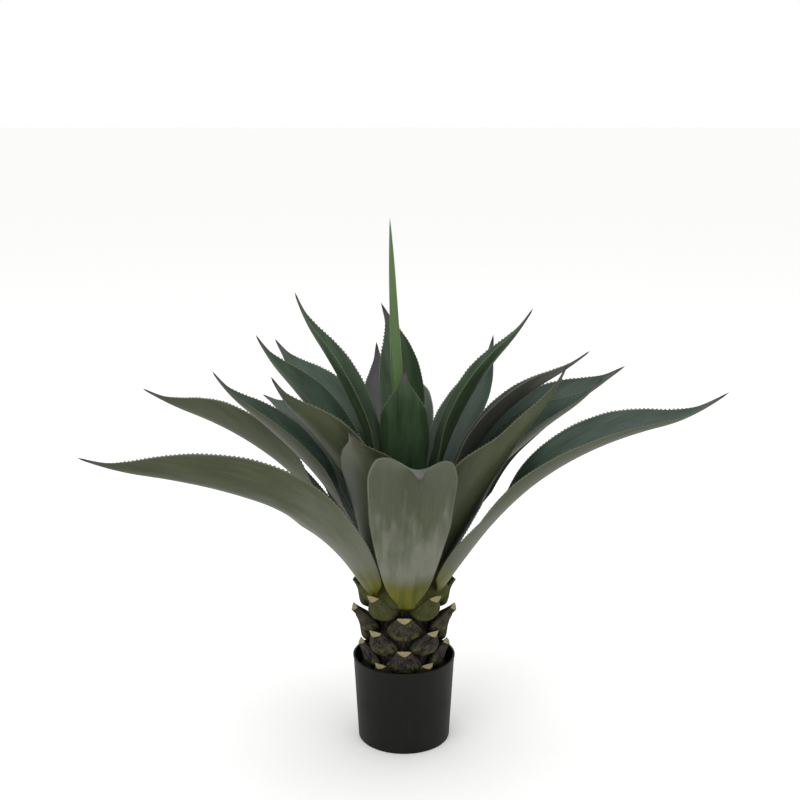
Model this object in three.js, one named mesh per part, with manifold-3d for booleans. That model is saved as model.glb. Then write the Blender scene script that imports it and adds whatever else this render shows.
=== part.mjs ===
// Potted agave: a rosette of stiff toothed leaves on a short stem clad in cut leaf bases, in a plain
// nursery pot. Millimetres, +Z up, the front toward -Y, the origin at the centre of the pot's underside.
// A bearing is in degrees about the stem's axis: 0 points to the front and 90 to +X.
import * as THREE from "three";
import { mergeVertices } from "three/addons/utils/BufferGeometryUtils.js";
import Module from "manifold-3d";

const wasm = await Module();
wasm.setup();

// Pot and potting mix
const potHeight = 143;
const potRimDiameter = 165;
const potBaseDiameter = 149.6;
const potWall = 2.6;
const potFloor = 3;
const mixBelowRim = 29;
const clearance = 0.3;

// Stem
const stemRadius = 46;
const stemSunkInMix = 84;
const crownAboveRim = 113; // from the pot's rim to the foot of the lowest leaf
const crownRadius = 76;
const leafStepIn = 3.1; // each leaf stands this much nearer to the axis than the one below it
const leafStepUp = 3.6;

// Leaves
const leafThickness = 2.6;
const leafFootThickness = 4;
const leafFootSunk = 7; // how far a leaf's foot reaches back to the crown before it is trimmed
const keelDepth = 0.15; // depth of the V along the midrib, as a share of the half width
const stations = 16;

// Central spear of rolled young leaves
const spearLength = 519;
const spearFootRadius = 7.5;
const spearBellyRadius = 9;
const spearLean = 22; // how far its tip leans toward -X

// Cut leaf bases
const stubRowPitch = 30.5;
const stubsPerRow = 5;
const topRowAboveRim = 124; // height of the top row's cut faces above the rim
const stubRowRadii = [83, 82, 77, 70, 63];
const stubBendOut = 16; // how far the longest stub has left the stem where it bends upward
const topRowBendToTip = 21;
const stubHalfWidth = 12;
const stubBellyHalfWidth = 27;
const stubBellyThickness = 27;
const stubThickness = 13;

const crownHeight = potHeight + crownAboveRim;
const mixHeight = potHeight - mixBelowRim;
const upward = new THREE.Vector3(0, 0, 1);
const group = new THREE.Group();
const { sin, cos, min, max, sqrt, hypot, PI } = Math;
const radians = THREE.MathUtils.degToRad;
const outward = (bearing) => new THREE.Vector3(sin(radians(bearing)), -cos(radians(bearing)), 0);
const sideways = (bearing) => new THREE.Vector3(cos(radians(bearing)), sin(radians(bearing)), 0);

// Value at x of the smooth curve through knots [x, y], which never overshoots them.
function through(knots, x) {
  const last = knots.length - 1;
  const slope = (i) => (knots[i + 1][1] - knots[i][1]) / (knots[i + 1][0] - knots[i][0]);
  const bend = (i) => {
    if (i === 0) return slope(0);
    if (i === last) return slope(last - 1);
    const a = slope(i - 1);
    const b = slope(i);
    return a * b <= 0 ? 0 : (2 * a * b) / (a + b);
  };
  let i = 0;
  while (i < last - 1 && x > knots[i + 1][0]) i += 1;
  const h = knots[i + 1][0] - knots[i][0];
  const t = (x - knots[i][0]) / h;
  const rest = 1 - t;
  return (
    knots[i][1] * (1 + 2 * t) * rest * rest +
    bend(i) * h * t * rest * rest +
    knots[i + 1][1] * t * t * (3 - 2 * t) +
    bend(i + 1) * h * t * t * (t - 1)
  );
}

// Moves each vertex of a closed geometry to place(vertex) and joins its seams.
function shaped(geometry, place) {
  const position = geometry.attributes.position;
  const vertex = new THREE.Vector3();
  for (let i = 0; i < position.count; i += 1) {
    place(vertex.fromBufferAttribute(position, i));
    position.setXYZ(i, vertex.x, vertex.y, vertex.z);
  }
  geometry.deleteAttribute("normal");
  geometry.deleteAttribute("uv");
  return mergeVertices(geometry, 1e-4);
}

// A solid of revolution about Z from a profile of [radius, height] points.
function turned(profile, segments) {
  const points = profile.map(([radius, height]) => new THREE.Vector2(radius, height));
  return new THREE.LatheGeometry(points, segments).rotateX(PI / 2);
}

// Turns the diagonals of the quads behind a cone's axis, so that both faces of a flattened cone bend alike.
function matchFaces(cone) {
  const { index } = cone;
  const { position } = cone.attributes;
  for (let i = 0; i + 5 < index.count; i += 3) {
    const [a, b, d, second, c, third] = [0, 1, 2, 3, 4, 5].map((k) => index.getX(i + k));
    const behind = [a, b, c, d].reduce((sum, corner) => sum + position.getZ(corner), 0) < -1e-6;
    if (b === second && d === third && behind) {
      index.setX(i + 2, c);
      index.setX(i + 3, a);
      i += 3;
    }
  }
  return cone;
}

function solid(geometry) {
  const closed = geometry.clone();
  closed.deleteAttribute("normal");
  closed.deleteAttribute("uv");
  const merged = mergeVertices(closed, 1e-4);
  return new wasm.Manifold(
    new wasm.Mesh({
      numProp: 3,
      vertProperties: new Float32Array(merged.attributes.position.array),
      triVerts: new Uint32Array(merged.index.array),
    }),
  );
}

function geometryOf(manifold) {
  const mesh = manifold.getMesh();
  const geometry = new THREE.BufferGeometry();
  geometry.setAttribute("position", new THREE.BufferAttribute(mesh.vertProperties, 3));
  geometry.setIndex(new THREE.BufferAttribute(mesh.triVerts, 1));
  return geometry;
}

function add(name, geometry, material) {
  geometry.computeVertexNormals();
  const mesh = new THREE.Mesh(geometry, material);
  mesh.name = name;
  group.add(mesh);
}

const blackPlastic = new THREE.MeshStandardMaterial({ color: 0x2b2b26, roughness: 0.6, metalness: 0 });
const pottingMix = new THREE.MeshStandardMaterial({ color: 0x2a211a, roughness: 0.95, metalness: 0 });
const barkBrown = new THREE.MeshStandardMaterial({ color: 0x4a3d33, roughness: 0.85, metalness: 0 });
const cutStraw = new THREE.MeshStandardMaterial({ color: 0x8a7a4c, roughness: 0.8, metalness: 0 });
const leafGreen = new THREE.MeshStandardMaterial({ color: 0x5a6b55, roughness: 0.5, metalness: 0 });
const spearGreen = new THREE.MeshStandardMaterial({ color: 0x567a3c, roughness: 0.45, metalness: 0 });

// Pot: a plain taper with an even wall, open at the top
const rimRadius = potRimDiameter / 2;
const baseRadius = potBaseDiameter / 2;
const wallAt = (z) => baseRadius + ((rimRadius - baseRadius) * z) / potHeight;
add(
  "pot",
  turned(
    [
      [0, 0],
      [baseRadius, 0],
      [rimRadius, potHeight],
      [rimRadius - potWall, potHeight],
      [wallAt(potFloor) - potWall, potFloor],
      [0, potFloor],
    ],
    48,
  ),
  blackPlastic,
);

// Potting mix: fills the pot up to below its rim, with a pocket that holds the foot of the stem
const stemFoot = mixHeight - stemSunkInMix;
const mixSide = (z) => wallAt(z) - potWall - clearance;
const mixProfile = [
  [0, potFloor + clearance],
  [mixSide(potFloor + clearance), potFloor + clearance],
  [mixSide(mixHeight), mixHeight],
  [stemRadius + clearance, mixHeight + 1.5],
  [stemRadius + clearance, stemFoot - clearance],
  [0, stemFoot - clearance],
];
add("potting_mix", turned(mixProfile, 48), pottingMix);

// Stem: a straight core that flares under the lowest leaves and narrows as a cone inside the rosette
const lastOrder = 21;
const crownTopRadius = crownRadius - lastOrder * leafStepIn - 1;
const crownTop = crownHeight + lastOrder * leafStepUp + 3;
const stemProfile = (grow) => [
  [0, stemFoot - grow],
  [stemRadius + grow, stemFoot - grow],
  [stemRadius + grow, crownHeight - 36],
  [crownRadius - 7 + grow, crownHeight - 6],
  [crownRadius - 3 + grow, crownHeight + 2 + grow],
  [crownTopRadius + grow, crownTop + grow],
  [0, crownTop + grow],
];
add("stem", turned(stemProfile(0), 40), barkBrown);
const stemRoom = solid(turned(stemProfile(clearance), 40));
const mixRoom = solid(
  turned(
    [
      [0, 0],
      [rimRadius, 0],
      [rimRadius, mixHeight + 1.5 + clearance],
      [0, mixHeight + 1.5 + clearance],
    ],
    40,
  ),
);

// One leaf: its half width is a share of width, its section is an arc with a V along the midrib, and its
// midrib is a Bezier curve from the crown, at the angles launch and arrive above the horizontal, to a tip
// that is spread beyond the crown's radius and rise above it. roll turns the blade about its midrib, hook
// lifts the spine at the tip, and sway moves the tip sideways. base widens the blade just above its foot,
// and slim narrows its outer half.
const widthKnots = [
  [0, 0.2], [0.05, 0.42], [0.1, 0.54], [0.28, 0.8], [0.42, 0.95], [0.56, 1],
  [0.68, 0.88], [0.78, 0.62], [0.86, 0.33], [0.92, 0.14], [0.97, 0.055], [1, 0],
];

function leafGeometry(leaf) {
  const { order, bearing, spread, rise, launch, arrive } = leaf;
  const { width = 124, roll = 0, hook = 14, sway = 0, early = 0.42, late = 0.38 } = leaf;
  const { openness = 0.75, wrap = 1.05, base = 0, slim = 0 } = leaf;
  const out = outward(bearing);
  const side = sideways(bearing);
  const at = (radius, height) => out.clone().multiplyScalar(radius).addScaledVector(upward, height);
  const along = (angle) => at(cos(radians(angle)), sin(radians(angle)));
  const foot = at(crownRadius - order * leafStepIn, crownHeight + order * leafStepUp);
  const tip = at(crownRadius + spread, crownHeight + rise);
  const chord = foot.distanceTo(tip);
  const curve = new THREE.CubicBezierCurve3(
    foot,
    foot.clone().addScaledVector(along(launch), early * chord),
    tip.clone().addScaledVector(along(arrive), -late * chord),
    tip.clone().addScaledVector(side, sway),
  );
  const length = curve.getLength();
  const sunk = leafFootSunk / length;
  const lifted = (u) => {
    const direction = curve.getTangentAt(max(u, 0));
    const across = side.clone().addScaledVector(direction, -side.dot(direction)).normalize();
    const face = new THREE.Vector3().crossVectors(direction, across).normalize();
    const centre = curve.getPointAt(max(u, 0)).addScaledVector(direction, min(u, 0) * length);
    return { centre: centre.addScaledVector(face, hook * max(0, (u - 0.82) / 0.18) ** 2), across, face };
  };
  const cone = matchFaces(new THREE.ConeGeometry(1, 1, 8, stations));
  return shaped(cone, (vertex) => {
    const ring = vertex.y + 0.5;
    const radius = max(1 - ring, 1e-9);
    const v = ring > 0.9999 ? 0 : vertex.x / radius;
    const facing = ring > 0.9999 ? 0 : -vertex.z / radius;
    const u = min(1, ring * (1 + sunk) - sunk);
    const { centre, across, face } = lifted(u);
    const turn = radians(roll) * THREE.MathUtils.smoothstep(u, 0.06, 0.55);
    const free = THREE.MathUtils.smoothstep(u, 0.12, 0.5);
    const flare = 1 + base * THREE.MathUtils.smoothstep(u, 0, 0.06) * (1 - free);
    const narrow = 1 - slim * THREE.MathUtils.smoothstep(u, 0.45, 0.7);
    const plain = (width / 2) * through(widthKnots, max(u, 0)) * (1 - (order / 40) * (1 - u));
    const half = plain * flare * narrow;
    const cup = min(max(half / max(hypot(centre.x, centre.y), 12), openness * free), wrap);
    const x = (half / cup) * sin(cup * v);
    const y = (half / cup) * (1 - cos(cup * v)) + keelDepth * free * half * sqrt(v * v + 0.01);
    const footShare = max(0, 1 - u / 0.22) ** 2;
    const thick = min(leafThickness + (leafFootThickness - leafThickness) * footShare, 1.6 * half);
    const level = y + (facing * thick) / 2;
    vertex
      .copy(centre)
      .addScaledVector(across, x * cos(turn) - level * sin(turn))
      .addScaledVector(face, x * sin(turn) + level * cos(turn));
  });
}

// From the lowest leaf inward, each about 2/5 of a turn from the one before it.
const leaves = [
  {
    bearing: 3, spread: 304, rise: 294, launch: 61, arrive: -6, width: 136, early: 0.5, late: 0.35,
    roll: -4, openness: 0.55, hook: 0,
  },
  { bearing: 144, spread: 364, rise: 214, launch: 50, arrive: -5 },
  {
    bearing: -46, spread: 379, rise: 251, launch: 60, arrive: 6, width: 114, early: 0.45, roll: 32,
    sway: -217, base: 0.4,
  },
  {
    bearing: 60, spread: 411, rise: 330, launch: 57, arrive: 8, roll: 15, hook: 32, sway: 104,
    base: 0.4,
  },
  { bearing: -144, spread: 364, rise: 224, launch: 52, arrive: -5 },
  { bearing: -22, spread: 144, rise: 305, launch: 71, arrive: 32, openness: 0.4, hook: 15 },
  { bearing: 46, spread: 250, rise: 412, launch: 63, arrive: 50, width: 128, slim: 0.55, roll: -8 },
  { bearing: -108, spread: 386, rise: 285, launch: 54, arrive: 10, roll: 38 },
  { bearing: 112, spread: 326, rise: 322, launch: 62, arrive: 13, roll: 15, base: 0.5 },
  { bearing: 180, spread: 324, rise: 264, launch: 60, arrive: 0 },
  { bearing: -85, spread: 229, rise: 354, launch: 65, arrive: 40, width: 118, roll: -2 },
  { bearing: 86, spread: 239, rise: 342, launch: 64, arrive: 33, roll: 8, base: 0.6 },
  { bearing: -140, spread: 282, rise: 346, launch: 68, arrive: 25 },
  { bearing: -52, spread: 178, rise: 374, launch: 71, arrive: 43, width: 118, roll: 12 },
  { bearing: 147, spread: 221, rise: 366, launch: 69, arrive: 63, width: 108 },
  { bearing: 98, spread: 226, rise: 370, launch: 71, arrive: 20, width: 112, roll: -15 },
  { bearing: -110, spread: 188, rise: 390, launch: 70, arrive: 42, width: 114 },
  { bearing: -168, spread: 162, rise: 356, launch: 78, arrive: 60, width: 112 },
  { bearing: 105, spread: 144, rise: 438, launch: 76, arrive: 40, width: 110, roll: -14 },
  { bearing: -105, spread: 113, rise: 468, launch: 81, arrive: 54, width: 110, roll: 8 },
  { bearing: 0, spread: -16, rise: 374, launch: 84, arrive: 80, width: 122 },
  { bearing: 155, spread: 32, rise: 442, launch: 86, arrive: 68, width: 108, sway: 86 },
];
leaves.forEach((leaf, order) => {
  const blade = solid(leafGeometry({ ...leaf, order })).subtract(stemRoom);
  const name = "leaf_" + String(order + 1).padStart(2, "0");
  add(name, geometryOf(blade), leafGreen.clone());
});

// Central spear: a slender cone on top of the crown that swells a little and leans
const spearKnots = [[0, spearFootRadius], [0.5, spearBellyRadius], [0.8, 5.5], [0.95, 2], [1, 0]];
const spear = new THREE.ConeGeometry(1, 1, 10, 9);
add(
  "central_spear",
  shaped(spear, (vertex) => {
    const u = vertex.y + 0.5;
    const radius = max(1 - u, 1e-9);
    const x = u > 0.9999 ? 0 : vertex.x / radius;
    const y = u > 0.9999 ? 0 : -vertex.z / radius;
    const r = through(spearKnots, u);
    vertex.set(x * r - spearLean * u, y * r, crownTop + clearance + u * spearLength);
  }),
  spearGreen,
);

// Cut leaf bases: each hugs the stem from below, bulges and ends in a half-moon cut face; rows alternate
stubRowRadii.forEach((tipRadius, row) => {
  for (let k = 0; k < stubsPerRow; k += 1) {
    const bearing = ((k + (row % 2 ? 0 : 0.5)) * 360) / stubsPerRow;
    const out = outward(bearing);
    const side = sideways(bearing);
    const top = potHeight + topRowAboveRim - row * stubRowPitch;
    const at = (radius, height) => out.clone().multiplyScalar(radius).addScaledVector(upward, height);
    const jut = (tipRadius - stemRadius) / (stubRowRadii[0] - stemRadius);
    // the top row stands against the crown and follows its own tips; the others hug the stem
    const bend = row ? stemRadius + stubBendOut * jut : tipRadius - topRowBendToTip;
    const curve = new THREE.QuadraticBezierCurve3(
      at(stemRadius - 1, top - 47),
      at(bend, top - 17),
      at(tipRadius, top),
    );
    const widths = [[0, 11], [0.33, stubBellyHalfWidth], [0.75, 16], [1, stubHalfWidth]];
    const depths = [[0, 11], [0.33, stubBellyThickness * (0.5 + 0.5 * jut)], [0.75, 16], [1, stubThickness]];
    const stub = shaped(new THREE.CylinderGeometry(1, 1, 1, 10, 4), (vertex) => {
      const u = vertex.y + 0.5;
      const reachAcross = hypot(vertex.x, vertex.z);
      const direction = curve.getTangentAt(u);
      const face = new THREE.Vector3().crossVectors(side, direction).normalize();
      const across = through(widths, u) * vertex.x;
      const level = vertex.z * through(depths, u) * (vertex.z > 0 ? 0.72 : 0.28);
      vertex.copy(curve.getPointAt(u));
      if (reachAcross > 0.5) vertex.addScaledVector(side, across).addScaledVector(face, level);
    });
    const trimmed = solid(stub).subtract(stemRoom).subtract(mixRoom);
    const name = "leaf_stub_" + (row + 1) + (k + 1);
    add(name, geometryOf(trimmed), cutStraw.clone());
  }
});

export default group;
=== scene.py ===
import math
import bpy
import numpy as np
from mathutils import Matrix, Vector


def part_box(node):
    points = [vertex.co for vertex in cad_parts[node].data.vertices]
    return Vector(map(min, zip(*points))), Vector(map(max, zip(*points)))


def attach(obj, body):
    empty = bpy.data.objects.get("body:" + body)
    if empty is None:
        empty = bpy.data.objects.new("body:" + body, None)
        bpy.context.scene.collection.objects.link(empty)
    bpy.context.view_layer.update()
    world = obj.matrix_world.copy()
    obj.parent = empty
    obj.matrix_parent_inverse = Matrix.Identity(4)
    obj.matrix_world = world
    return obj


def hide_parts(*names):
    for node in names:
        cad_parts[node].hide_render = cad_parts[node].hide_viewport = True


# Potted agave: toothed leaves in a rosette on a stem clad in cut leaf bases, in a plain nursery pot.
# Sizes are in millimetres until a mesh is made; the frame is in metres.
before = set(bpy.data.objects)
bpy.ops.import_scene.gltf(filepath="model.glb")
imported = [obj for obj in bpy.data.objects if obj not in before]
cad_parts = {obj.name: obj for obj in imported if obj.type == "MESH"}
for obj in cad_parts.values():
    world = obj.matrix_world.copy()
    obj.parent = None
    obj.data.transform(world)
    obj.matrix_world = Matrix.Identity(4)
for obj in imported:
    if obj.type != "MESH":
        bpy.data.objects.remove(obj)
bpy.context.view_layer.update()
mm = 0.001
clearance = 0.3
mixDome = 1.5  # how far the soil rises towards the stem
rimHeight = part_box("pot")[1][2] / mm
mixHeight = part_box("potting_mix")[1][2] / mm - mixDome
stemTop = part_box("stem")[1][2] / mm
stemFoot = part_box("stem")[0][2] / mm
print("frame loaded")

view = {"place": (-0.0065, -2.003, 1.052), "pitch": 76.44, "lens": 59.27}
lamps = [
    {"name": "keyPanel", "place": (-1.5, -2.4, 2.5), "size": 2.2, "power": 26},
    {"name": "fillPanel", "place": (2.4, -1.8, 1.5), "size": 2.6, "power": 9},
    {"name": "topPanel", "place": (0.2, 0.6, 3.2), "size": 3.0, "power": 24},
]
room = {"floorWidth": 60, "floorHex": "fbfbfa", "floorRoughness": 0.9, "skyHex": "ffffff",
        "skyStrength": 1.0, "lampAim": (0, 0, 0.4)}


# sRGB hex to linear red, green, blue and alpha.
def linear(hexColour):
    parts = [int(hexColour[i:i + 2], 16) / 255 for i in (0, 2, 4)]
    return [p / 12.92 if p <= 0.04045 else ((p + 0.055) / 1.055) ** 2.4 for p in parts] + [1]


# Adds a node, sets its inputs or properties by name or number, and links its inputs.
def addNode(tree, kind, settings=None, links=None):
    node = tree.nodes.new(kind)
    for key, value in (settings or {}).items():
        if isinstance(key, int) or key in node.inputs:
            node.inputs[key].default_value = value
        else:
            setattr(node, key, value)
    for key, source in (links or {}).items():
        tree.links.new(node.inputs[key], source)
    return node


# A material with a Principled shader, and its node tree.
def newMaterial(name):
    material = bpy.data.materials.new(name)
    material.use_nodes = True
    return material, material.node_tree, material.node_tree.nodes["Principled BSDF"]


# 0 below low, 1 above high, and a smooth S between them.
def smoothstep(x, low, high):
    t = np.clip((x - low) / (high - low), 0, 1)
    return t * t * (3 - 2 * t)


# Value at x of the smooth curve through knots, which never overshoots them: a cubic in each
# gap, whose end slopes are the harmonic means of the slopes on either side.
def through(knots, x):
    kx, ky = np.array(knots, float).T
    step = np.diff(kx)
    slope = np.diff(ky) / step
    product = slope[1:] * slope[:-1]
    mean = np.where(product > 0, 2 * product / np.where(product > 0, slope[1:] + slope[:-1], 1), 0)
    bend = np.concatenate([slope[:1], mean, slope[-1:]])
    x = np.clip(x, kx[0], kx[-1])
    i = np.clip(np.searchsorted(kx, x, side="left") - 1, 0, len(step) - 1)
    t = (x - kx[i]) / step[i]
    rest = 1 - t
    return (ky[i] * (1 + 2 * t) * rest ** 2 + bend[i] * step[i] * t * rest ** 2
            + ky[i + 1] * t ** 2 * (3 - 2 * t) + bend[i + 1] * step[i] * t ** 2 * (t - 1))


# Smooth noise: the sum of sine waves of random direction and phase, mostly within -1 and 1.
def waves(seed, count, lowest, highest, *axes):
    chance = np.random.default_rng(seed)
    total = 0
    for frequency in np.geomspace(lowest, highest, count):
        direction = chance.normal(size=len(axes))
        direction /= np.linalg.norm(direction)
        along = sum(d * axis for d, axis in zip(direction, axes))
        total = total + np.sin(frequency * along + chance.uniform(0, 2 * np.pi))
    return total / math.sqrt(2 * count)


# Points at equal steps of length along a Bezier curve of any degree, with the unit directions.
def bezierAt(handles, u):
    handles = np.array(handles, float)
    degree = len(handles) - 1

    def mix(points, t):
        order = len(points) - 1
        weights = [math.comb(order, i) * t ** i * (1 - t) ** (order - i) for i in range(order + 1)]
        return sum(w[:, None] * p for w, p in zip(weights, points))

    fine = np.linspace(0, 1, 401)
    steps = np.linalg.norm(np.diff(mix(handles, fine), axis=0), axis=1)
    travelled = np.concatenate([[0], np.cumsum(steps)])
    t = np.interp(u, travelled / travelled[-1], fine)
    direction = mix(degree * np.diff(handles, axis=0), t)
    direction /= np.linalg.norm(direction, axis=1)[:, None]
    return mix(handles, t), direction, travelled[-1]


def outward(bearing):
    return np.array([math.sin(math.radians(bearing)), -math.cos(math.radians(bearing)), 0])


def sideways(bearing):
    return np.array([math.cos(math.radians(bearing)), math.sin(math.radians(bearing)), 0])


# A closed mesh from rings of points: quads between neighbouring rings, and a fan of triangles
# from the last point at each end. layers are attributes, one vector per grid point.
def ringPiece(name, rings, start, end, material, layers=None, crease=None):
    count, around = rings.shape[:2]
    points = np.vstack([rings.reshape(-1, 3), [start], [end]]) * mm
    row = np.arange(count - 1)[:, None] * around
    here = np.arange(around)
    after = (here + 1) % around
    quads = np.stack([row + here, row + after, row + around + after, row + around + here], -1)
    last = (count - 1) * around
    startFan = np.stack([np.full(around, count * around), after, here], -1)
    endFan = np.stack([np.full(around, count * around + 1), last + here, last + after], -1)
    corners = np.concatenate([quads.ravel(), startFan.ravel(), endFan.ravel()])
    sizes = np.concatenate([np.full(quads.size // 4, 4), np.full(2 * around, 3)])
    flat = quads.reshape(-1, 4)
    triangles = np.concatenate([flat[:, [0, 1, 2]], flat[:, [0, 2, 3]], startFan, endFan])
    a, b, c = (points[triangles[:, i]] for i in range(3))
    if np.einsum("ij,ij->", a, np.cross(b, c)) < 0:  # inside out, so every face is turned round
        corners, sizes = corners[::-1], sizes[::-1]
    mesh = bpy.data.meshes.new(name)
    mesh.vertices.add(len(points))
    mesh.vertices.foreach_set("co", points.ravel())
    mesh.loops.add(len(corners))
    mesh.loops.foreach_set("vertex_index", corners.astype(np.int32))
    mesh.polygons.add(len(sizes))
    starts = np.concatenate([[0], np.cumsum(sizes)[:-1]])
    mesh.polygons.foreach_set("loop_start", starts.astype(np.int32))
    mesh.update(calc_edges=True)
    for key, value in (layers or {}).items():
        value = np.broadcast_to(value, (count, around, 3))
        value = np.vstack([value.reshape(-1, 3), [value[0].mean(0)], [value[-1].mean(0)]])
        layer = mesh.attributes.new(key, "FLOAT_VECTOR", "POINT")
        layer.data.foreach_set("vector", value.astype(np.float32).ravel())
    mesh.shade_smooth()
    if crease:
        mesh.set_sharp_from_angle(angle=math.radians(crease))
    mesh.materials.append(material)
    piece = bpy.data.objects.new(name, mesh)
    bpy.context.scene.collection.objects.link(piece)
    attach(piece, "root")
    return piece


# Rings of a solid of revolution: each [radius, height] of the profile carried round the axis.
def turnedRings(profile, around):
    profile = np.array(profile, float)
    angle = np.linspace(0, 2 * np.pi, around, endpoint=False)
    radius, height = profile[:, 0:1], profile[:, 1:2]
    return np.stack([radius * np.cos(angle), radius * np.sin(angle), height + 0 * angle], -1)


# Inserts points along a profile so that no step is longer than the given length.
def subdivided(profile, longest):
    made = [profile[0]]
    for a, b in zip(profile[:-1], profile[1:]):
        parts = max(1, math.ceil(math.dist(a, b) / longest))
        made += [[a[i] + (b[i] - a[i]) * k / parts for i in (0, 1)] for k in range(1, parts + 1)]
    return made


# Pot: polypropylene from an injection mould, so its skin is even, matt and very dark, with a
# faint draw texture up the wall and scuffs that catch the light.
pot = {"rimRadius": 82.5, "baseRadius": 74.8, "wall": 2.6, "floor": 3.0, "around": 192,
       "lipDepth": 3.2, "lipProud": 0.7, "edgeRound": 1.6, "hex": "121210",
       "scuffHex": "1c1b18", "roughness": 0.55, "specular": 0.14}


def potPlastic():
    material, tree, shader = newMaterial("blackPolypropylene")
    place = addNode(tree, "ShaderNodeTexCoord").outputs["Object"]
    stretched = addNode(tree, "ShaderNodeMapping", {"Scale": (1, 1, 0.15)}, {"Vector": place})
    scuff = addNode(tree, "ShaderNodeTexNoise", {"Scale": 90, "Detail": 6, "Roughness": 0.7},
                    {"Vector": stretched.outputs[0]})
    grain = addNode(tree, "ShaderNodeTexNoise", {"Scale": 1400, "Detail": 2}, {"Vector": place})
    amount = addNode(tree, "ShaderNodeMapRange", {"From Min": 0.5, "From Max": 0.85},
                     {"Value": scuff.outputs["Fac"]})
    colour = addNode(tree, "ShaderNodeMix", {"data_type": "RGBA", 6: linear(pot["hex"]),
                                             7: linear(pot["scuffHex"])},
                     {0: amount.outputs[0]})
    rough = addNode(tree, "ShaderNodeMapRange", {"To Min": pot["roughness"] - 0.06,
                                                 "To Max": pot["roughness"] + 0.12},
                    {"Value": scuff.outputs["Fac"]})
    bump = addNode(tree, "ShaderNodeBump", {"Strength": 0.35, "Distance": 0.0001},
                   {"Height": grain.outputs["Fac"]})
    tree.links.new(shader.inputs["Base Color"], colour.outputs[2])
    tree.links.new(shader.inputs["Roughness"], rough.outputs[0])
    tree.links.new(shader.inputs["Normal"], bump.outputs[0])
    shader.inputs["IOR"].default_value = 1.49
    shader.inputs["Specular IOR Level"].default_value = pot["specular"]
    return material


# The wall is the straight taper between the CAD pot's foot and rim, with a rounded foot edge,
# a slightly thicker lip and a shallow ring pressed into the underside.
def makePot():
    rim, base, wall, floor = pot["rimRadius"], pot["baseRadius"], pot["wall"], pot["floor"]
    lip, proud, edge = pot["lipDepth"], pot["lipProud"], pot["edgeRound"]
    at = lambda z: base + (rim - base) * z / rimHeight
    profile = [[58, 0.8], [60, 0], [base - edge, 0], [base - 0.3 * edge, 0.3 * edge],
               [at(edge), edge], [at(rimHeight / 2), rimHeight / 2],
               [at(rimHeight - lip - 0.8), rimHeight - lip - 0.8],
               [rim + proud - 0.3, rimHeight - lip], [rim + proud, rimHeight - 0.7],
               [rim + proud - 0.6, rimHeight], [rim - wall + 0.6, rimHeight],
               [rim - wall, rimHeight - 0.7], [at(rimHeight / 2) - wall, rimHeight / 2],
               [at(floor) - wall, floor + 1], [at(floor) - wall - 1, floor], [40, floor]]
    rings = turnedRings(profile, pot["around"])
    piece = ringPiece("nurseryPot", rings, [0, 0, 0.8], [0, 0, floor], potPlastic(), crease=35)
    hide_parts("pot")


# Potting mix: peat and bark fines, dull and almost black where the pot shades it.
mix = {"around": 240, "hex": "1a1512", "crumbHex": "33291f", "lift": 1.3}


def peat():
    material, tree, shader = newMaterial("peatAndBark")
    place = addNode(tree, "ShaderNodeTexCoord").outputs["Object"]
    crumbs = addNode(tree, "ShaderNodeTexVoronoi", {"Scale": 330}, {"Vector": place})
    fine = addNode(tree, "ShaderNodeTexNoise", {"Scale": 600, "Detail": 4}, {"Vector": place})
    colour = addNode(tree, "ShaderNodeMix", {"data_type": "RGBA", 6: linear(mix["crumbHex"]),
                                             7: linear(mix["hex"])},
                     {0: crumbs.outputs["Distance"]})
    height = addNode(tree, "ShaderNodeMath", {"operation": "ADD"},
                     {0: crumbs.outputs["Distance"], 1: fine.outputs["Fac"]})
    bump = addNode(tree, "ShaderNodeBump", {"Strength": 0.9, "Distance": 0.0015},
                   {"Height": height.outputs[0]})
    tree.links.new(shader.inputs["Base Color"], colour.outputs[2])
    tree.links.new(shader.inputs["Normal"], bump.outputs[0])
    shader.inputs["Roughness"].default_value = 0.95
    return material


# A ring of soil with a pocket for the stem; its top is lifted by smooth noise.
def makeMix():
    taper = (pot["rimRadius"] - pot["baseRadius"]) / rimHeight
    wall = lambda z: pot["baseRadius"] + taper * z - pot["wall"] - clearance
    hole, pocket, bottom = (crown["stemRadius"] + clearance, stemFoot - clearance,
                            pot["floor"] + clearance)
    profile = [[hole, pocket], [hole, 60], [hole, mixHeight + 1.2]]
    profile += [[r, mixHeight + 1.2 - (r - hole) * 0.045] for r in np.linspace(48, 77, 18)]
    profile += [[wall(mixHeight) - 0.2, mixHeight - 0.6], [wall(60), 60], [wall(bottom), bottom]]
    rings = turnedRings(profile, mix["around"])
    top = np.zeros(len(profile))
    top[3:20] = 1
    x, y = rings[..., 0], rings[..., 1]
    lift = waves(4, 9, 0.12, 0.9, x, y) + 0.6 * waves(5, 9, 0.9, 2.4, x, y)
    rings[..., 2] += top[:, None] * mix["lift"] * lift * 0.5
    piece = ringPiece("pottingSoil", rings, [0, 0, pocket], [0, 0, bottom], peat(), crease=40)
    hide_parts("potting_mix")


# Stem and cut leaf bases: dried, fibrous and dark, with paler straw where the knife went through
# and some green left under the lowest leaves.
bark = {"darkHex": "120e0f", "greyHex": "383133", "strawHex": "726b44", "oliveHex": "434818",
        "cutHex": "a89f77", "cutDarkHex": "7d7350", "roughness": 0.85, "specular": 0.15}
crown = {"aboveRim": 113, "radius": 76, "stepIn": 3.1, "stepUp": 3.6, "stemRadius": 46}


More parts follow.
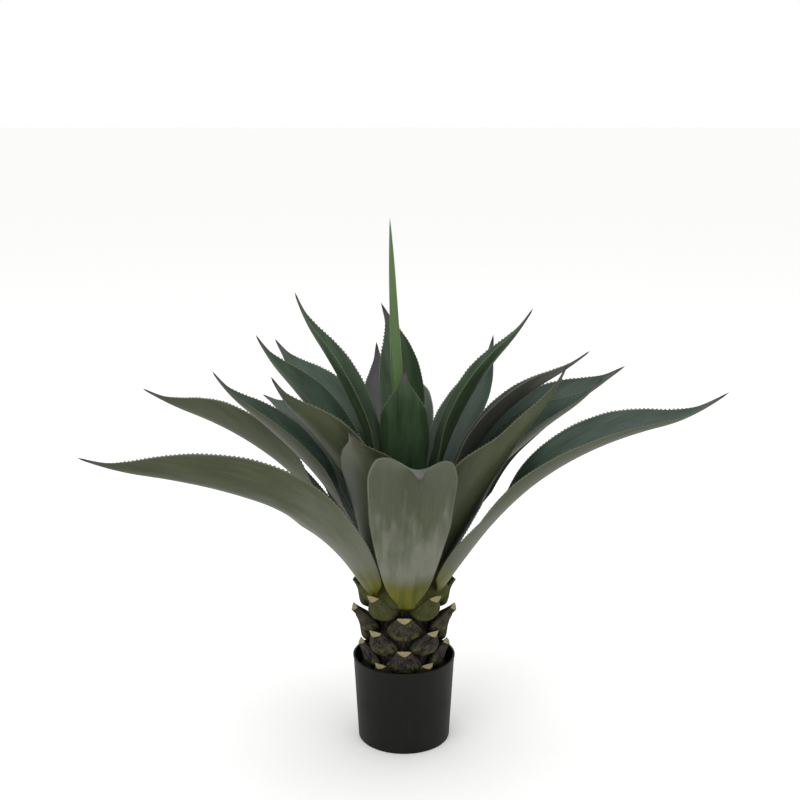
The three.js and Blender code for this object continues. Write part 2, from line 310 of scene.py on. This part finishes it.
# Colours follow the fibres: the attribute fibre is (across, along, seed) in millimetres and
# part is (share along the piece, 1 on a cut face, greenness).
def driedFibre():
    material, tree, shader = newMaterial("driedLeafFibre")
    fibre = addNode(tree, "ShaderNodeAttribute", {"attribute_name": "fibre"}).outputs["Vector"]
    part = addNode(tree, "ShaderNodeAttribute", {"attribute_name": "part"}).outputs["Vector"]
    share = addNode(tree, "ShaderNodeSeparateXYZ", None, {0: part}).outputs
    drawn = addNode(tree, "ShaderNodeVectorMath", {"operation": "MULTIPLY", 1: (0.9, 0.07, 1)},
                    {0: fibre})
    strands = addNode(tree, "ShaderNodeTexNoise", {"Scale": 1, "Detail": 6, "Roughness": 0.65},
                      {"Vector": drawn.outputs[0]})
    blot = addNode(tree, "ShaderNodeVectorMath", {"operation": "MULTIPLY", 1: (0.11, 0.08, 1)},
                   {0: fibre})
    patches = addNode(tree, "ShaderNodeTexNoise", {"Scale": 1, "Detail": 3, "Distortion": 0.4},
                      {"Vector": blot.outputs[0]})
    greyAmount = addNode(tree, "ShaderNodeMapRange", {"From Min": 0.35, "From Max": 0.68},
                         {"Value": patches.outputs["Fac"]})
    base = addNode(tree, "ShaderNodeMix", {"data_type": "RGBA", 6: linear(bark["darkHex"]),
                                           7: linear(bark["greyHex"])},
                   {0: greyAmount.outputs[0]})
    strawAmount = addNode(tree, "ShaderNodeMapRange", {"From Min": 0.55, "From Max": 0.68,
                                                       "To Max": 0.9},
                          {"Value": strands.outputs["Fac"]})
    straw = addNode(tree, "ShaderNodeMix", {"data_type": "RGBA", 7: linear(bark["strawHex"])},
                    {0: strawAmount.outputs[0], 6: base.outputs[2]})
    # a rubbed patch on the belly, olive and paler
    belly = addNode(tree, "ShaderNodeMath", {"operation": "SUBTRACT", 1: 0.4}, {0: share[0]})
    near = addNode(tree, "ShaderNodeMath", {"operation": "ABSOLUTE"}, {0: belly.outputs[0]})
    rubbed = addNode(tree, "ShaderNodeMapRange", {"From Min": 0.2, "From Max": 0.02,
                                                  "To Max": 0.9},
                     {"Value": near.outputs[0]})
    broken = addNode(tree, "ShaderNodeMapRange", {"From Min": 0.42, "From Max": 0.6},
                     {"Value": patches.outputs["Fac"]})
    oliveAmount = addNode(tree, "ShaderNodeMath", {"operation": "MULTIPLY"},
                          {0: rubbed.outputs[0], 1: broken.outputs[0]})
    green = addNode(tree, "ShaderNodeMath", {"operation": "MAXIMUM"},
                    {0: oliveAmount.outputs[0], 1: share[2]})
    olive = addNode(tree, "ShaderNodeMix", {"data_type": "RGBA", 7: linear(bark["oliveHex"])},
                    {0: green.outputs[0], 6: straw.outputs[2]})
    cutTone = addNode(tree, "ShaderNodeMix", {"data_type": "RGBA", 6: linear(bark["cutDarkHex"]),
                                              7: linear(bark["cutHex"])},
                      {0: strands.outputs["Fac"]})
    cut = addNode(tree, "ShaderNodeMapRange", {"From Min": 0.35, "From Max": 0.75},
                  {"Value": share[1]})
    colour = addNode(tree, "ShaderNodeMix", {"data_type": "RGBA"},
                     {0: cut.outputs[0], 6: olive.outputs[2], 7: cutTone.outputs[2]})
    bump = addNode(tree, "ShaderNodeBump", {"Strength": 0.8, "Distance": 0.0008},
                   {"Height": strands.outputs["Fac"]})
    tree.links.new(shader.inputs["Base Color"], colour.outputs[2])
    tree.links.new(shader.inputs["Normal"], bump.outputs[0])
    shader.inputs["Roughness"].default_value = bark["roughness"]
    shader.inputs["Specular IOR Level"].default_value = bark["specular"]
    return material


# The straight core, its flare under the leaves and the cone inside the rosette, with
# fibrous ridges: the radius grows by noise that changes fast round the stem and slowly up it.
def makeStem(material):
    foot, top, grown = crown["stemRadius"], rimHeight + crown["aboveRim"], crown["radius"]
    profile = subdivided([[foot - 1, stemFoot], [foot, stemFoot + 1], [foot, top - 36],
                          [grown - 7, top - 6], [grown - 3, top + 2], [9.9, stemTop]], 4)
    rings = turnedRings(profile, 240)
    radius, height = np.array(profile).T
    angle = np.linspace(0, 2 * np.pi, 240, endpoint=False)
    cx, cy = 40 * np.cos(angle), 40 * np.sin(angle)
    ridge = waves(11, 14, 0.25, 1.6, cx[None], cy[None], height[:, None] * 0.08)
    swell = 1 + 1.1 * ridge / np.maximum(radius, 12)[:, None]
    rings[..., :2] *= swell[..., None]
    fibre = np.stack(np.broadcast_arrays(40 * angle[None], height[:, None], 3.0), -1)
    green = 0.75 * smoothstep(height, top - 16, top + 4)
    part = np.stack(np.broadcast_arrays(0.9, 0, green[:, None] + 0 * angle[None]), -1)
    piece = ringPiece("stemCore", rings, [0, 0, stemFoot], [0, 0, stemTop], material,
                      {"fibre": fibre, "part": part})
    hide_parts("stem")


stub = {"rowPitch": 30.5, "perRow": 5, "topAboveRim": 124, "rowRadii": [83, 82, 77, 70, 63],
        "halfWidth": 12, "bellyHalfWidth": 27, "bellyThickness": 27, "thickness": 13,
        "bendOut": 16, "topRowBendToTip": 21, "outerShare": 0.72, "innerShare": 0.28,
        "rings": 34, "around": 44, "ridge": 0.9}


# A leaf base: a section carried along a Bezier path that leaves the stem low down and ends at
# the cut. The section is round outside and flat inside, swells to a belly a third of the way
# up, and ends in a half moon that closes in a slightly hollow face.
def makeStub(row, k, material):
    tipRadius, foot = stub["rowRadii"][row], crown["stemRadius"]
    bearing = (k + (0 if row % 2 else 0.5)) * 360 / stub["perRow"]
    chance = np.random.default_rng(100 + 10 * row + k)
    out, side, up = outward(bearing), sideways(bearing), np.array([0, 0, 1.0])
    top = rimHeight + stub["topAboveRim"] - row * stub["rowPitch"]
    jut = (tipRadius - foot) / (stub["rowRadii"][0] - foot)
    # the top row stands against the crown and follows its own tips; the others hug the stem
    bend = foot + stub["bendOut"] * jut if row else tipRadius - stub["topRowBendToTip"]
    at = lambda radius, height: out * radius + up * height
    u = np.linspace(0, 1, stub["rings"])
    path, direction, length = bezierAt(
        [at(foot - 1, top - 47), at(bend, top - 17), at(tipRadius, top)], u)
    face = np.cross(side, direction)
    width = through([[0, 11], [0.33, stub["bellyHalfWidth"]], [0.75, 16],
                     [1, stub["halfWidth"]]], u)
    depth = through([[0, 11], [0.33, stub["bellyThickness"] * (0.5 + 0.5 * jut)], [0.75, 16],
                     [1, stub["thickness"]]], u)
    angle = np.linspace(0, 2 * np.pi, stub["around"], endpoint=False)
    across, level = np.sin(angle), np.cos(angle)
    sharp = smoothstep(u, 0.55, 1)[:, None]
    outer = stub["outerShare"] * np.maximum(level, 0)[None] ** (1 + 0.5 * sharp)
    inner = -stub["innerShare"] * np.maximum(-level, 0)[None] * (1 - 0.85 * sharp)
    x = width[:, None] * np.sign(across) * np.abs(across)[None] ** (1 + 0.5 * sharp)
    y = depth[:, None] * (outer + inner)
    ridge = waves(chance.integers(1 << 30), 12, 0.3, 1.7, 17 * angle[None], 4 * u[:, None])
    fade = 1 - 0.5 * smoothstep(u, 0.8, 1)[:, None]
    grow = 1 + stub["ridge"] * ridge * fade / np.maximum(np.hypot(x, y), 9)
    x, y = x * grow, y * grow
    rings = path[:, None] + side * x[..., None] + face[:, None] * y[..., None]
    # the cut: three smaller rings inside the last one, the innermost set back by a millimetre
    mouth = rings[-1] + direction[-1] * 0.8 * waves(chance.integers(1 << 30), 5, 0.3, 1.5,
                                                    9 * across, 9 * level)[:, None]
    rings[-1] = mouth
    middle = mouth.mean(0)
    inside = [middle + (mouth - middle) * s - direction[-1] * (1 - s) * 1.2
              for s in (0.93, 0.85, 0.5)]
    rings = np.concatenate([rings, inside])
    along = np.concatenate([u * length, np.full(3, length)])
    fibre = np.stack(np.broadcast_arrays(17 * angle[None], along[:, None], 7.0 * row + 3 * k), -1)
    fibre[-3:, :, 0] = 12 * across
    fibre[-3:, :, 1] = 60 * level
    cut = np.concatenate([np.zeros(len(u)), [0.8, 1, 1]])
    green = (0.55 if row == 0 else 0.12 if row == 1 else 0.0) * np.ones(len(cut))
    share = np.concatenate([u, np.ones(3)])
    part = np.stack(np.broadcast_arrays(share[:, None], cut[:, None],
                                        green[:, None] + 0 * angle[None]), -1)
    tag = str(row + 1) + str(k + 1)
    end = middle - direction[-1] * 1.2
    piece = ringPiece("leafBase" + tag, rings, rings[0].mean(0), end, material,
                      {"fibre": fibre, "part": part}, crease=38)
    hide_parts("leaf_stub_" + tag)


# Leaves: a waxy skin with fine lengthwise veins. The upper face is a dark blue green, the
# lower one paler under a grey bloom, the foot yellow green, and the spine dark brown.
skin = {"upperHex": "26342b", "upperPaleHex": "425248", "lowerHex": "2f3521",
        "lowerPaleHex": "464b34", "bloomHex": "66695b", "youngHex": "24341f",
        "youngPaleHex": "42593c", "footHex": "5f5a03", "footDarkHex": "333c05",
        "marginHex": "6a6e58", "tipHex": "4a4341", "spineHex": "211712", "purpleHex": "4a474a",
        "roughness": 0.45, "specular": 0.3, "veinWidth": 1.3, "veinLength": 90}
leafForm = {"width": 124, "roll": 0, "hook": 14, "sway": 0, "early": 0.42, "late": 0.38,
            "openness": 0.75, "wrap": 1.05, "base": 0, "slim": 0, "bloom": 0.15, "grey": 0,
            "young": 0}
leafMake = {"thickness": 2.6, "footThickness": 4, "footSunk": 7, "keel": 0.15, "around": 28,
            "toothPitch": 5.8, "toothHeight": 2.6, "perTooth": 4, "ripple": 1.2}
leafWidths = [[0, 0.2], [0.05, 0.42], [0.1, 0.54], [0.28, 0.8], [0.42, 0.95], [0.56, 1],
              [0.68, 0.88], [0.78, 0.62], [0.86, 0.33], [0.92, 0.14], [0.97, 0.055], [1, 0]]
leaves = [
    dict(bearing=3, spread=304, rise=294, launch=61, arrive=-6, width=136, early=0.5, late=0.35,
         roll=-4, openness=0.55, hook=0, bloom=1),
    dict(bearing=144, spread=364, rise=214, launch=50, arrive=-5),
    dict(bearing=-46, spread=379, rise=251, launch=60, arrive=6, width=114, early=0.45, roll=32,
         sway=-217, base=0.4, bloom=0.6),
    dict(bearing=60, spread=411, rise=330, launch=57, arrive=8, roll=15, hook=32, sway=104,
         base=0.4),
    dict(bearing=-144, spread=364, rise=224, launch=52, arrive=-5),
    dict(bearing=-22, spread=144, rise=305, launch=71, arrive=32, openness=0.4, hook=15,
         bloom=0.4),
    dict(bearing=46, spread=250, rise=412, launch=63, arrive=50, width=128, slim=0.55, roll=-8),
    dict(bearing=-108, spread=386, rise=285, launch=54, arrive=10, roll=38),
    dict(bearing=112, spread=326, rise=322, launch=62, arrive=13, roll=15, base=0.5),
    dict(bearing=180, spread=324, rise=264, launch=60, arrive=0),
    dict(bearing=-85, spread=229, rise=354, launch=65, arrive=40, width=118, roll=-2),
    dict(bearing=86, spread=239, rise=342, launch=64, arrive=33, roll=8, base=0.6),
    dict(bearing=-140, spread=282, rise=346, launch=68, arrive=25, young=0.3),
    dict(bearing=-52, spread=178, rise=374, launch=71, arrive=43, width=118, roll=12),
    dict(bearing=147, spread=221, rise=366, launch=69, arrive=63, width=108),
    dict(bearing=98, spread=226, rise=370, launch=71, arrive=20, width=112, roll=-15, grey=0.5),
    dict(bearing=-110, spread=188, rise=390, launch=70, arrive=42, width=114, young=0.5),
    dict(bearing=-168, spread=162, rise=356, launch=78, arrive=60, width=112, grey=0.8),
    dict(bearing=105, spread=144, rise=438, launch=76, arrive=40, width=110, roll=-14,
         young=0.8),
    dict(bearing=-105, spread=113, rise=468, launch=81, arrive=54, width=110, roll=8,
         young=0.8),
    dict(bearing=0, spread=-16, rise=374, launch=84, arrive=80, width=122, young=1),
    dict(bearing=155, spread=32, rise=442, launch=86, arrive=68, width=108, sway=86,
         young=0.9),
]


# Colour is laid along each blade: the attribute blade is (across, along, seed) in millimetres,
# share is (-1 to 1 across, 0 to 1 along, 1 underneath) and tone is (bloom, grey, young).
def leafSkin():
    material, tree, shader = newMaterial("waxyLeafSkin")
    blade = addNode(tree, "ShaderNodeAttribute", {"attribute_name": "blade"}).outputs["Vector"]
    shareAt = addNode(tree, "ShaderNodeAttribute", {"attribute_name": "share"}).outputs["Vector"]
    toneAt = addNode(tree, "ShaderNodeAttribute", {"attribute_name": "tone"}).outputs["Vector"]
    place = addNode(tree, "ShaderNodeSeparateXYZ", None, {0: blade}).outputs
    share = addNode(tree, "ShaderNodeSeparateXYZ", None, {0: shareAt}).outputs
    tone = addNode(tree, "ShaderNodeSeparateXYZ", None, {0: toneAt}).outputs
    drawn = addNode(tree, "ShaderNodeVectorMath",
                    {"operation": "MULTIPLY",
                     1: (1 / skin["veinWidth"], 1 / skin["veinLength"], 1)}, {0: blade})
    veins = addNode(tree, "ShaderNodeTexNoise", {"Scale": 1, "Detail": 4, "Roughness": 0.6},
                    {"Vector": drawn.outputs[0]})
    broad = addNode(tree, "ShaderNodeVectorMath", {"operation": "MULTIPLY",
                                                   1: (0.06, 0.012, 1)}, {0: blade})
    bands = addNode(tree, "ShaderNodeTexNoise", {"Scale": 1, "Detail": 3},
                    {"Vector": broad.outputs[0]})
    mixed = addNode(tree, "ShaderNodeMath", {"operation": "MULTIPLY_ADD", 1: 0.45, 2: -0.02},
                    {0: veins.outputs["Fac"]})
    streak = addNode(tree, "ShaderNodeMath", {"operation": "MULTIPLY_ADD", 1: 0.6},
                     {0: bands.outputs["Fac"], 2: mixed.outputs[0]})
    spread = addNode(tree, "ShaderNodeMapRange", {"From Min": 0.35, "From Max": 0.68},
                     {"Value": streak.outputs[0]})
    upper = addNode(tree, "ShaderNodeMix", {"data_type": "RGBA", 6: linear(skin["upperHex"]),
                                            7: linear(skin["upperPaleHex"])},
                    {0: spread.outputs[0]})
    lower = addNode(tree, "ShaderNodeMix", {"data_type": "RGBA", 6: linear(skin["lowerHex"]),
                                            7: linear(skin["lowerPaleHex"])},
                    {0: spread.outputs[0]})
    # bloom is thickest low down on the under side and wears off in patches towards the tip
    worn = addNode(tree, "ShaderNodeMath", {"operation": "MULTIPLY_ADD", 1: 0.9},
                   {0: bands.outputs["Fac"], 2: share[1]})
    bloomFade = addNode(tree, "ShaderNodeMapRange", {"From Min": 1.02, "From Max": 0.55,
                                                     "interpolation_type": "SMOOTHSTEP"},
                        {"Value": worn.outputs[0]})
    bloomAmount = addNode(tree, "ShaderNodeMath", {"operation": "MULTIPLY"},
                          {0: bloomFade.outputs[0], 1: tone[0]})
    bloomed = addNode(tree, "ShaderNodeMix", {"data_type": "RGBA", 7: linear(skin["bloomHex"])},
                      {0: bloomAmount.outputs[0], 6: lower.outputs[2]})
    sides = addNode(tree, "ShaderNodeMix", {"data_type": "RGBA"},
                    {0: share[2], 6: upper.outputs[2], 7: bloomed.outputs[2]})
    young = addNode(tree, "ShaderNodeMix", {"data_type": "RGBA", 6: linear(skin["youngHex"]),
                                            7: linear(skin["youngPaleHex"])},
                    {0: spread.outputs[0]})
    body = addNode(tree, "ShaderNodeMix", {"data_type": "RGBA"},
                   {0: tone[2], 6: sides.outputs[2], 7: young.outputs[2]})
    greyed = addNode(tree, "ShaderNodeMix", {"data_type": "RGBA", 7: linear(skin["purpleHex"])},
                     {0: tone[1], 6: body.outputs[2]})
    # the foot: measured in millimetres from the crown, with an uneven edge
    ragged = addNode(tree, "ShaderNodeMath", {"operation": "MULTIPLY_ADD", 1: -22},
                     {0: bands.outputs["Fac"], 2: place[1]})
    foot = addNode(tree, "ShaderNodeMapRange", {"From Min": 66, "From Max": 24,
                                                "interpolation_type": "SMOOTHSTEP"},
                   {"Value": ragged.outputs[0]})
    footTone = addNode(tree, "ShaderNodeMix", {"data_type": "RGBA", 6: linear(skin["footHex"]),
                                               7: linear(skin["footDarkHex"])},
                       {0: spread.outputs[0]})
    footed = addNode(tree, "ShaderNodeMix", {"data_type": "RGBA"},
                     {0: foot.outputs[0], 6: greyed.outputs[2], 7: footTone.outputs[2]})
    edge = addNode(tree, "ShaderNodeMath", {"operation": "ABSOLUTE"}, {0: share[0]})
    margin = addNode(tree, "ShaderNodeMapRange", {"From Min": 0.965, "From Max": 0.99,
                                                  "To Max": 0.7},
                     {"Value": edge.outputs[0]})
    edged = addNode(tree, "ShaderNodeMix", {"data_type": "RGBA", 7: linear(skin["marginHex"])},
                    {0: margin.outputs[0], 6: footed.outputs[2]})
    tip = addNode(tree, "ShaderNodeMapRange", {"From Min": 0.9, "From Max": 0.965,
                                               "interpolation_type": "SMOOTHSTEP"},
                  {"Value": share[1]})
    tipped = addNode(tree, "ShaderNodeMix", {"data_type": "RGBA", 7: linear(skin["tipHex"])},
                     {0: tip.outputs[0], 6: edged.outputs[2]})
    spine = addNode(tree, "ShaderNodeMapRange", {"From Min": 0.955, "From Max": 0.985},
                    {"Value": share[1]})
    colour = addNode(tree, "ShaderNodeMix", {"data_type": "RGBA", 7: linear(skin["spineHex"])},
                     {0: spine.outputs[0], 6: tipped.outputs[2]})
    rough = addNode(tree, "ShaderNodeMapRange", {"To Min": skin["roughness"] - 0.08,
                                                 "To Max": skin["roughness"] + 0.14},
                    {"Value": streak.outputs[0]})
    bump = addNode(tree, "ShaderNodeBump", {"Strength": 0.35, "Distance": 0.0005},
                   {"Height": veins.outputs["Fac"]})
    tree.links.new(shader.inputs["Base Color"], colour.outputs[2])
    tree.links.new(shader.inputs["Roughness"], rough.outputs[0])
    tree.links.new(shader.inputs["Normal"], bump.outputs[0])
    shader.inputs["IOR"].default_value = 1.45
    shader.inputs["Specular IOR Level"].default_value = skin["specular"]
    return material


# A blade: each station of a Bezier midrib carries a section bent to an arc with a V along the
# midrib. v runs from -1 to 1 across and facing from 1 above to -1 below; x is the arc's chord,
# y its height, and the two faces stand half a thickness either side. Teeth push the outermost
# points further out, in a saw pattern at equal steps of length.
def makeLeaf(order, material):
    form = leafForm | leaves[order]
    chance = np.random.default_rng(40 + order)
    out, side, up = outward(form["bearing"]), sideways(form["bearing"]), np.array([0, 0, 1.0])
    at = lambda radius, height: out * radius + up * height
    along = lambda angle: at(math.cos(math.radians(angle)), math.sin(math.radians(angle)))
    crownHeight = rimHeight + crown["aboveRim"]
    foot = at(crown["radius"] - order * crown["stepIn"], crownHeight + order * crown["stepUp"])
    tip = at(crown["radius"] + form["spread"], crownHeight + form["rise"])
    chord = np.linalg.norm(tip - foot)
    handles = [foot, foot + along(form["launch"]) * form["early"] * chord,
               tip - along(form["arrive"]) * form["late"] * chord, tip + side * form["sway"]]
    length = bezierAt(handles, np.array([0.0, 1.0]))[2]
    teeth = round(length / leafMake["toothPitch"])
    blade = np.linspace(0, 1, teeth * leafMake["perTooth"] + 1)
    sunk = leafMake["footSunk"] / length
    u = np.concatenate([[-sunk, -0.6 * sunk, -0.3 * sunk], blade])
    path, direction, length = bezierAt(handles, np.maximum(u, 0))
    across = side - direction * (direction @ side)[:, None]
    across /= np.linalg.norm(across, axis=1)[:, None]
    face = np.cross(direction, across)
    centre = path + direction * np.minimum(u, 0)[:, None] * length
    centre = centre + face * (form["hook"] * np.maximum(0, (u - 0.82) / 0.18) ** 2)[:, None]
    half = form["width"] / 2 * through(leafWidths, np.maximum(u, 0)) * (1 - order / 40 * (1 - u))
    half *= 1 + form["base"] * smoothstep(u, 0, 0.06) * (1 - smoothstep(u, 0.12, 0.5))
    half *= 1 - form["slim"] * smoothstep(u, 0.45, 0.7)
    free = smoothstep(u, 0.12, 0.5)
    reach = np.hypot(centre[:, 0], centre[:, 1])
    cup = np.minimum(np.maximum(half / np.maximum(reach, 12), form["openness"] * free),
                     form["wrap"])
    footShare = np.maximum(0, 1 - u / 0.22) ** 2
    thick = np.minimum(leafMake["thickness"] + footShare
                       * (leafMake["footThickness"] - leafMake["thickness"]), 1.6 * half)
    angle = np.linspace(0, 2 * np.pi, leafMake["around"], endpoint=False)
    v, facing = np.sin(angle)[None], np.cos(angle)[None]
    # teeth: a slow rise and a quick fall, smaller towards the foot and none on the spine
    saw = np.array([0, 0.35, 1, 0.2])[np.arange(len(blade)) % leafMake["perTooth"]]
    size = chance.uniform(0.7, 1.1, teeth + 1)[np.arange(len(blade)) // leafMake["perTooth"]]
    reachOut = leafMake["toothHeight"] * saw * size * smoothstep(blade, 0.04, 0.16)
    reachOut *= 1 - smoothstep(blade, 0.86, 0.93)
    reachOut = np.concatenate([np.zeros(3), reachOut])
    margin = np.where(np.abs(v) > 0.999, np.sign(v), 0)
    half = np.maximum(half, 1e-6)[:, None]
    bent = v + margin * reachOut[:, None] / half
    cup, thick, free, lean = cup[:, None], thick[:, None], free[:, None], u[:, None]
    ripple = waves(chance.integers(1 << 30), 6, 0.012, 0.05, lean * length, 60 * v)
    x = half / cup * np.sin(cup * bent)
    y = half / cup * (1 - np.cos(cup * bent)) + leafMake["keel"] * free * half * np.sqrt(
        v ** 2 + 0.01)
    y = y + leafMake["ripple"] * ripple * free * v ** 2 * smoothstep(1 - lean, 0.05, 0.3)
    level = y + facing * thick / 2
    turn = math.radians(form["roll"]) * smoothstep(u, 0.06, 0.55)[:, None]
    sideStep = x * np.cos(turn) - level * np.sin(turn)
    faceStep = x * np.sin(turn) + level * np.cos(turn)
    rings = (centre[:, None] + across[:, None] * sideStep[..., None]
             + face[:, None] * faceStep[..., None])
    under = smoothstep(-facing, -0.12, 0.12)
    seed = 11.0 * order + 40 * under
    layers = {
        "blade": np.stack(np.broadcast_arrays(bent * half, lean * length, seed), -1),
        "share": np.stack(np.broadcast_arrays(bent + 0 * lean, lean, under), -1),
        "tone": np.array([form["bloom"], form["grey"], form["young"]]),
    }
    name = str(order + 1).zfill(2)
    layers = {key: np.broadcast_to(value, rings.shape)[:-1] for key, value in layers.items()}
    piece = ringPiece("agaveLeaf" + name, rings[:-1], rings[0].mean(0), centre[-1], material,
                      layers)
    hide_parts("leaf_" + name)


# Spear: young leaves still rolled round each other, so the skin is fresh green with pale edges
# that wind slowly up it.
spear = {"length": 519, "footRadius": 7.5, "bellyRadius": 9, "lean": 22, "around": 48,
         "rings": 220, "turns": 0.55, "leaves": 3, "proudShare": 0.09, "hex": "3d5530",
         "paleHex": "5c7444", "edgeHex": "7c8a5c", "tipHex": "3f3526", "roughness": 0.42,
         "specular": 0.3}


def youngSkin():
    material, tree, shader = newMaterial("youngLeafSkin")
    blade = addNode(tree, "ShaderNodeAttribute", {"attribute_name": "blade"}).outputs["Vector"]
    shareAt = addNode(tree, "ShaderNodeAttribute", {"attribute_name": "share"}).outputs["Vector"]
    share = addNode(tree, "ShaderNodeSeparateXYZ", None, {0: shareAt}).outputs
    drawn = addNode(tree, "ShaderNodeVectorMath", {"operation": "MULTIPLY", 1: (1.2, 0.01, 1)},
                    {0: blade})
    veins = addNode(tree, "ShaderNodeTexNoise", {"Scale": 1, "Detail": 4},
                    {"Vector": drawn.outputs[0]})
    body = addNode(tree, "ShaderNodeMix", {"data_type": "RGBA", 6: linear(spear["hex"]),
                                           7: linear(spear["paleHex"])},
                   {0: veins.outputs["Fac"]})
    edge = addNode(tree, "ShaderNodeMapRange", {"From Min": 0.93, "From Max": 0.99,
                                                "To Max": 0.8},
                   {"Value": share[0]})
    edged = addNode(tree, "ShaderNodeMix", {"data_type": "RGBA", 7: linear(spear["edgeHex"])},
                    {0: edge.outputs[0], 6: body.outputs[2]})
    tip = addNode(tree, "ShaderNodeMapRange", {"From Min": 0.955, "From Max": 0.99},
                  {"Value": share[1]})
    colour = addNode(tree, "ShaderNodeMix", {"data_type": "RGBA", 7: linear(spear["tipHex"])},
                     {0: tip.outputs[0], 6: edged.outputs[2]})
    bump = addNode(tree, "ShaderNodeBump", {"Strength": 0.3, "Distance": 0.0004},
                   {"Height": veins.outputs["Fac"]})
    tree.links.new(shader.inputs["Base Color"], colour.outputs[2])
    tree.links.new(shader.inputs["Normal"], bump.outputs[0])
    shader.inputs["Roughness"].default_value = spear["roughness"]
    shader.inputs["Specular IOR Level"].default_value = spear["specular"]
    return material


# A slender cone whose radius follows its knots, plus a saw round it: each rolled leaf stands
# a little prouder up to its own edge and then steps down to the next, and the edges wind up.
def makeSpear():
    u = np.linspace(0, 1, spear["rings"])[:, None]
    angle = np.linspace(0, 2 * np.pi, spear["around"], endpoint=False)[None]
    wound = (angle / (2 * np.pi) * spear["leaves"] + spear["turns"] * u * spear["leaves"]) % 1
    radius = through([[0, spear["footRadius"]], [0.5, spear["bellyRadius"]], [0.8, 5.5],
                      [0.95, 2], [1, 0]], u)
    radius = radius * (1 + spear["proudShare"] * (wound - 0.5) * (1 - smoothstep(u, 0.85, 1)))
    foot = stemTop + clearance
    x = radius * np.cos(angle) - spear["lean"] * u
    y = radius * np.sin(angle)
    rings = np.stack(np.broadcast_arrays(x, y, foot + u * spear["length"]), -1)[:-1]
    layers = {
        "blade": np.stack(np.broadcast_arrays(wound * 18, u * spear["length"], 3.0), -1)[:-1],
        "share": np.stack(np.broadcast_arrays(wound, u + 0 * wound, 0.0), -1)[:-1],
    }
    tip = [-spear["lean"], 0, foot + spear["length"]]
    piece = ringPiece("rolledSpear", rings, [0, 0, foot], tip, youngSkin(), layers, crease=50)
    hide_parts("central_spear")


makePot()
makeMix()
print("pot and soil made")
fibreMaterial = driedFibre()
makeStem(fibreMaterial)
for row in range(len(stub["rowRadii"])):
    for k in range(stub["perRow"]):
        makeStub(row, k, fibreMaterial)
print("stem and leaf bases made")
skinMaterial = leafSkin()
for order in range(len(leaves)):
    makeLeaf(order, skinMaterial)
makeSpear()
print("leaves made")

# Floor, light and camera
floorMesh = bpy.data.meshes.new("paleFloor")
reach = room["floorWidth"] / 2
floorMesh.from_pydata([(-reach, -reach, 0), (reach, -reach, 0), (reach, reach, 0),
                       (-reach, reach, 0)], [], [(0, 1, 2, 3)])
floorPaint, _, floorShader = newMaterial("matPaleFloor")
floorShader.inputs["Base Color"].default_value = linear(room["floorHex"])
floorShader.inputs["Roughness"].default_value = room["floorRoughness"]
floorMesh.materials.append(floorPaint)
floor = bpy.data.objects.new("paleFloor", floorMesh)
bpy.context.scene.collection.objects.link(floor)
for lamp in lamps:
    data = bpy.data.lights.new(lamp["name"], "AREA")
    data.energy, data.size = lamp["power"], lamp["size"]
    light = bpy.data.objects.new(lamp["name"], data)
    light.location = lamp["place"]
    aim = np.array(room["lampAim"]) - np.array(lamp["place"])
    flat = math.hypot(aim[0], aim[1])
    light.rotation_euler = (math.atan2(flat, -aim[2]), 0, math.atan2(-aim[0], aim[1]))
    bpy.context.scene.collection.objects.link(light)
world = bpy.data.worlds.new("studio")
world.use_nodes = True
world.node_tree.nodes["Background"].inputs["Color"].default_value = linear(room["skyHex"])
world.node_tree.nodes["Background"].inputs["Strength"].default_value = room["skyStrength"]
bpy.context.scene.world = world
bpy.context.scene.view_settings.view_transform = "Standard"
cameraData = bpy.data.cameras.new("camera")
cameraData.lens, cameraData.sensor_width = view["lens"], 36
camera = bpy.data.objects.new("camera", cameraData)
camera.location = view["place"]
camera.rotation_euler = (math.radians(view["pitch"]), 0, 0)
bpy.context.scene.collection.objects.link(camera)
bpy.context.scene.camera = camera
print("floor, light and camera made")
